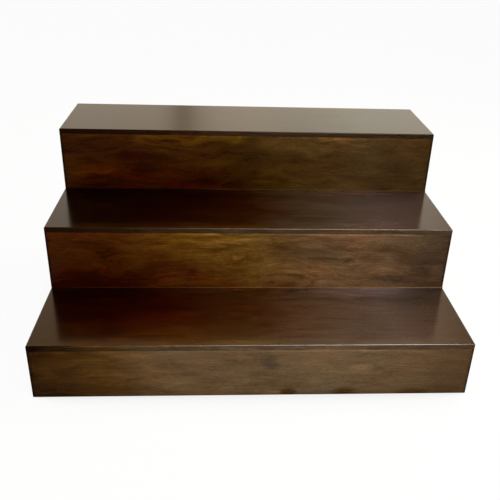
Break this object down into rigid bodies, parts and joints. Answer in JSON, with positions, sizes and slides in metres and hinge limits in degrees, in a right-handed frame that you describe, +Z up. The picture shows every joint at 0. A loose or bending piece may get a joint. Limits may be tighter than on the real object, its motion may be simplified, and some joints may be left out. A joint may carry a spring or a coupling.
{
  "type": "tiered display table",
  "caption": "Stepped display stand of dark stained boards: level treads rise towards the back, over a box that is open behind and below.",
  "frame": {"origin": "on the floor, under the middle of the stand's footprint", "axes": "+X to the right seen from the front, +Y to the back, +Z up"},
  "size_m": [0.914, 0.687, 0.431],
  "materials": {
    "stained_tread": "dark stain under glossy clear lacquer, straight grain",
    "stained_riser": "dark stain under satin clear lacquer, figured maple",
    "stained_side": "dark stain under satin clear lacquer outside, bare inside",
    "raw_batten": "planed, bare",
    "birch_spline": "bare",
    "zinc_screw": "zinc plated"
  },
  "bodies": {
    "root": {"back_foot_rail": "raw_batten", "back_top_rail": "raw_batten", "bottom_glue_blocks": "raw_batten", "bottom_ledger": "raw_batten", "bottom_riser": "stained_riser", "bottom_tread": "stained_tread", "left_back_post": "raw_batten", "left_bottom_cleat": "raw_batten", "left_bottom_post": "raw_batten", "left_lower_spline": "birch_spline", "left_middle_cleat": "raw_batten", "left_middle_post": "raw_batten", "left_middle_spline": "birch_spline", "left_side_lower": "stained_side", "left_side_middle": "stained_side", "left_side_upper": "stained_side", "left_top_cleat": "raw_batten", "left_top_post": "raw_batten", "middle_glue_blocks": "raw_batten", "middle_ledger": "raw_batten", "middle_riser": "stained_riser", "middle_tread": "stained_tread", "right_back_post": "raw_batten", "right_bottom_cleat": "raw_batten", "right_bottom_post": "raw_batten", "right_lower_spline": "birch_spline", "right_middle_cleat": "raw_batten", "right_middle_post": "raw_batten", "right_middle_spline": "birch_spline", "right_side_lower": "stained_side", "right_side_middle": "stained_side", "right_side_upper": "stained_side", "right_top_cleat": "raw_batten", "right_top_post": "raw_batten", "riser_screws": "zinc_screw", "top_glue_blocks": "raw_batten", "top_riser": "stained_riser", "top_tread": "stained_tread", "tread_screws": "zinc_screw"}
  },
  "joints": []
}
